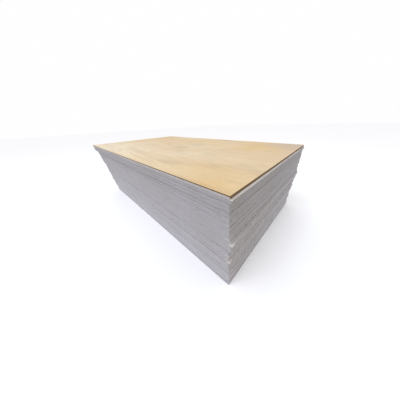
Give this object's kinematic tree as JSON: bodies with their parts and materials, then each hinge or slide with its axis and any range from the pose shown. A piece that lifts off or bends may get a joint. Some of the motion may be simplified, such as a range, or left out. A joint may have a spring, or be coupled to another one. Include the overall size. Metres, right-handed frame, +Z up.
{
  "type": "stack of plywood sheets",
  "caption": "Low rectangular stack of full-size square-edged plywood sheets, lying flat in slightly askew lifts, with a clean pale top veneer and grey weathered edges.",
  "frame": {"origin": "on the floor, under the middle of the whole stack's box", "axes": "+X across the sheets, +Y along the sheets and their face grain, +Z up through the stack"},
  "size_m": [1.2478, 2.4698, 0.702],
  "materials": {
    "weathered_plywood": "bare sawn edges and faces, weathered grey, dusty and rough",
    "top_plywood": "clean sanded pale honey rotary-cut face veneer, faintly satin, on a sheet with weathered edges"
  },
  "bodies": {
    "root": {"sheet_01": "weathered_plywood", "sheet_02": "weathered_plywood", "sheet_03": "weathered_plywood", "sheet_04": "weathered_plywood", "sheet_05": "weathered_plywood", "sheet_06": "weathered_plywood", "sheet_07": "weathered_plywood", "sheet_08": "weathered_plywood", "sheet_09": "weathered_plywood", "sheet_10": "weathered_plywood", "sheet_11": "weathered_plywood", "sheet_12": "weathered_plywood", "sheet_13": "weathered_plywood", "sheet_14": "weathered_plywood", "sheet_15": "weathered_plywood", "sheet_16": "weathered_plywood", "sheet_17": "weathered_plywood", "sheet_18": "weathered_plywood", "sheet_19": "weathered_plywood", "sheet_20": "weathered_plywood", "sheet_21": "weathered_plywood", "sheet_22": "weathered_plywood", "sheet_23": "weathered_plywood", "sheet_24": "weathered_plywood", "sheet_25": "weathered_plywood", "sheet_26": "weathered_plywood", "sheet_27": "weathered_plywood", "sheet_28": "weathered_plywood", "sheet_29": "weathered_plywood", "sheet_30": "weathered_plywood", "sheet_31": "weathered_plywood", "sheet_32": "weathered_plywood", "sheet_33": "weathered_plywood", "sheet_34": "weathered_plywood", "sheet_35": "weathered_plywood", "sheet_36": "weathered_plywood", "sheet_37": "weathered_plywood", "sheet_38": "weathered_plywood", "sheet_39": "top_plywood"}
  },
  "joints": []
}
